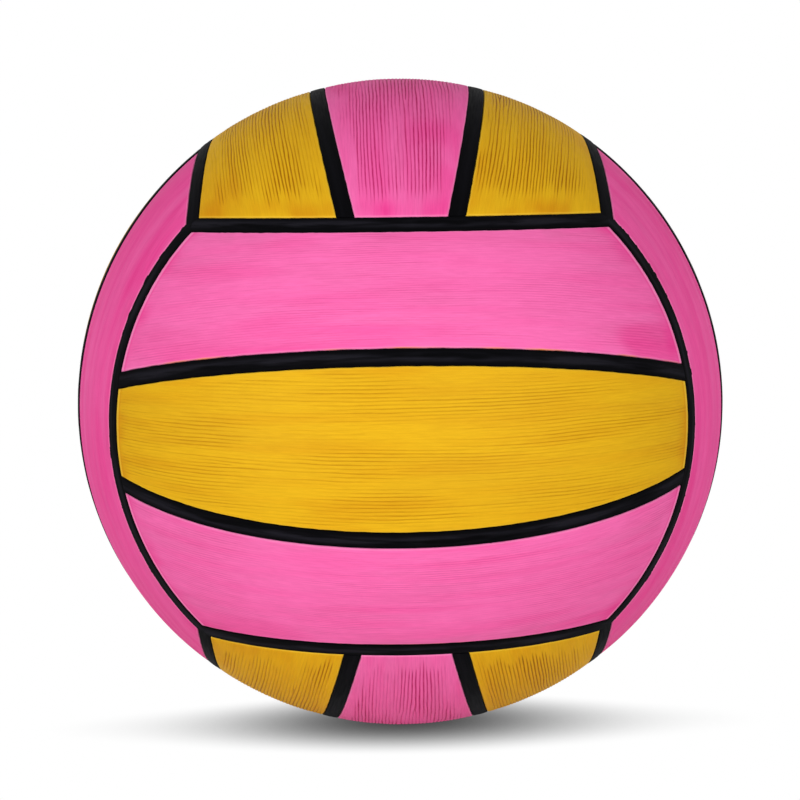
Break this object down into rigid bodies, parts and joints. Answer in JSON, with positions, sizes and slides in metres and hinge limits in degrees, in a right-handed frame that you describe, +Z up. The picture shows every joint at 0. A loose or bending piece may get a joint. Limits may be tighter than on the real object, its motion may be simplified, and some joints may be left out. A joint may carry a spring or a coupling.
{
  "type": "water polo ball",
  "caption": "Inflated rubber water polo ball with strip panels in two colours, black seam strips, wound carcass, bladder and needle valve.",
  "frame": {"origin": "centre of the ball", "axes": "+Z up, -Y towards the face with horizontal panels seen in the picture, +Y out of the valve"},
  "size_m": [0.22, 0.2198, 0.22],
  "materials": {
    "cover_pink": "matt, finely grooved along each panel",
    "cover_yellow": "matt, finely grooved along each panel",
    "seam_black": "satin",
    "carcass_rubber": "matt",
    "winding_thread": "matt thread",
    "bladder_rubber": "smooth",
    "valve_rubber": "satin",
    "plug_rubber": "satin"
  },
  "bodies": {
    "root": {"front_top_panel": "cover_pink", "front_middle_panel": "cover_yellow", "front_bottom_panel": "cover_pink", "back_top_panel": "cover_pink", "back_middle_panel": "cover_yellow", "back_bottom_panel": "cover_pink", "left_front_panel": "cover_pink", "left_middle_panel": "cover_yellow", "left_back_panel": "cover_pink", "right_front_panel": "cover_pink", "right_middle_panel": "cover_yellow", "right_back_panel": "cover_pink", "top_left_panel": "cover_yellow", "top_middle_panel": "cover_pink", "top_right_panel": "cover_yellow", "bottom_left_panel": "cover_yellow", "bottom_middle_panel": "cover_pink", "bottom_right_panel": "cover_yellow", "front_top_edge_strip": "seam_black", "front_bottom_edge_strip": "seam_black", "back_top_edge_strip": "seam_black", "back_bottom_edge_strip": "seam_black", "left_front_edge_strip": "seam_black", "left_back_edge_strip": "seam_black", "right_front_edge_strip": "seam_black", "right_back_edge_strip": "seam_black", "top_left_edge_strip": "seam_black", "top_right_edge_strip": "seam_black", "bottom_left_edge_strip": "seam_black", "bottom_right_edge_strip": "seam_black", "front_upper_strip": "seam_black", "front_lower_strip": "seam_black", "back_upper_strip": "seam_black", "back_lower_strip": "seam_black", "left_front_strip": "seam_black", "left_back_strip": "seam_black", "right_front_strip": "seam_black", "right_back_strip": "seam_black", "top_left_strip": "seam_black", "top_right_strip": "seam_black", "bottom_left_strip": "seam_black", "bottom_right_strip": "seam_black", "lining": "carcass_rubber", "winding": "winding_thread", "bladder": "bladder_rubber", "valve_patch": "bladder_rubber", "valve_housing": "valve_rubber", "valve_plug": "plug_rubber"}
  },
  "joints": []
}
